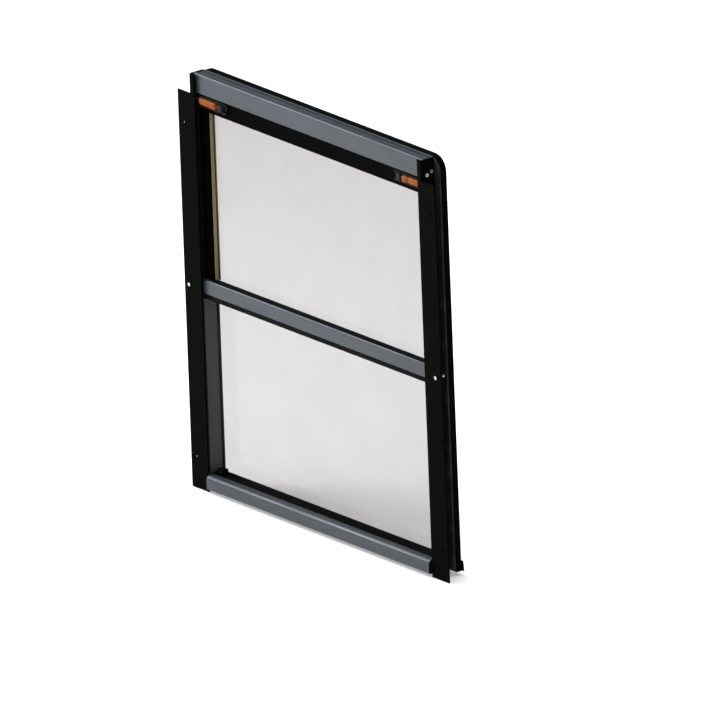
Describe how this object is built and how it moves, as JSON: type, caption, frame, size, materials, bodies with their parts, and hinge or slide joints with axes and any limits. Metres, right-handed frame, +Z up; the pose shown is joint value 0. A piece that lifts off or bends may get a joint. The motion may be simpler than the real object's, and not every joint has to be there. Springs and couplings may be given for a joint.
{
  "type": "vehicle window",
  "caption": "Vehicle window with a fixed lower pane and a drop-down upper sash held by sprung pinch latches, in a flanged frame with a rounded exterior ring.",
  "frame": {"origin": "centre of the four flange screw holes, in the plane of the flanges' interior faces", "axes": "+X along the header to the right seen from the inside, +Y from the inside to the outside, +Z up along the jambs"},
  "size_m": [0.74, 0.056, 0.7982],
  "materials": {
    "black_frame": "satin black powder coat on aluminium extrusion",
    "black_ring": "black powder coat on aluminium extrusion",
    "grey_extrusion": "satin grey anodised aluminium",
    "black_sash": "satin black powder coat on aluminium extrusion",
    "mill_aluminium": "mill finish",
    "zinc_screw": "bright zinc plate",
    "black_screw": "black phosphate",
    "spring_steel": "spring wire",
    "bolt_steel": "zinc plated strip",
    "dark_strike": "black powder coat",
    "black_rubber": "matt extruded rubber",
    "seal_rubber": "closed-cell sponge rubber",
    "woven_pile": "short woven pile",
    "clear_glass": "clear tempered glass",
    "grey_liner": "dark grey extruded plastic",
    "tan_bead": "tan extruded plastic",
    "tan_tape": "tan foam glazing tape",
    "black_nylon": "moulded black nylon",
    "grey_finger_rest": "moulded grey nylon",
    "orange_latch": "moulded orange nylon"
  },
  "bodies": {
    "frame": {"left_jamb": "black_frame", "right_jamb": "black_frame", "header": "grey_extrusion", "left_header_block": "mill_aluminium", "right_header_block": "mill_aluminium", "left_header_screws": "zinc_screw", "right_header_screws": "zinc_screw", "header_weatherstrip": "black_rubber", "sill": "grey_extrusion", "sill_gasket": "black_rubber", "setting_blocks": "black_rubber", "fixed_glass": "clear_glass", "fixed_glass_gasket": "grey_liner", "fixed_meeting_rail": "black_frame", "meeting_pile": "woven_pile", "left_track_liner": "grey_liner", "right_track_liner": "grey_liner", "left_strike_rail": "dark_strike", "right_strike_rail": "dark_strike", "left_sill_cap": "black_nylon", "right_sill_cap": "black_nylon", "left_sash_stop": "black_rubber", "right_sash_stop": "black_rubber", "exterior_ring": "black_ring", "exterior_seal": "seal_rubber", "drip_rail": "black_ring", "flange_middle_screws": "zinc_screw"},
    "sash": {"sash_top_rail": "black_sash", "sash_bottom_rail": "black_sash", "left_sash_stile": "black_sash", "right_sash_stile": "black_sash", "left_glazing_bead": "tan_bead", "right_glazing_bead": "tan_bead", "left_glazing_tape": "tan_tape", "right_glazing_tape": "tan_tape", "left_sash_pile": "woven_pile", "right_sash_pile": "woven_pile", "sash_corner_screws": "zinc_screw", "sash_glass": "clear_glass", "sash_gasket": "black_rubber", "lift_rail": "grey_extrusion", "lift_rail_seal": "black_rubber", "lift_rail_strip": "black_rubber", "left_latch_plate": "black_nylon", "right_latch_plate": "black_nylon", "left_latch_screws": "black_screw", "right_latch_screws": "black_screw", "left_finger_rest": "grey_finger_rest", "right_finger_rest": "grey_finger_rest", "left_latch_spring": "spring_steel", "right_latch_spring": "spring_steel"},
    "left_latch": {"left_latch": "orange_latch", "left_bolt": "bolt_steel"},
    "right_latch": {"right_latch": "orange_latch", "right_bolt": "bolt_steel"}
  },
  "joints": [
    {"name": "sash_drop", "type": "slide", "parent": "frame", "child": "sash", "axis": [0, 0, -1], "range_m": [0, 0.33309]},
    {"name": "left_latch_slide", "type": "slide", "parent": "sash", "child": "left_latch", "axis": [1, 0, 0], "range_m": [0, 0.005], "stiffness_N_per_m": 400, "springref_m": -0.0075, "deforming": ["left_latch_spring"]},
    {"name": "right_latch_slide", "type": "slide", "parent": "sash", "child": "right_latch", "axis": [-1, 0, 0], "range_m": [0, 0.005], "stiffness_N_per_m": 400, "springref_m": -0.0075, "deforming": ["right_latch_spring"]}
  ]
}
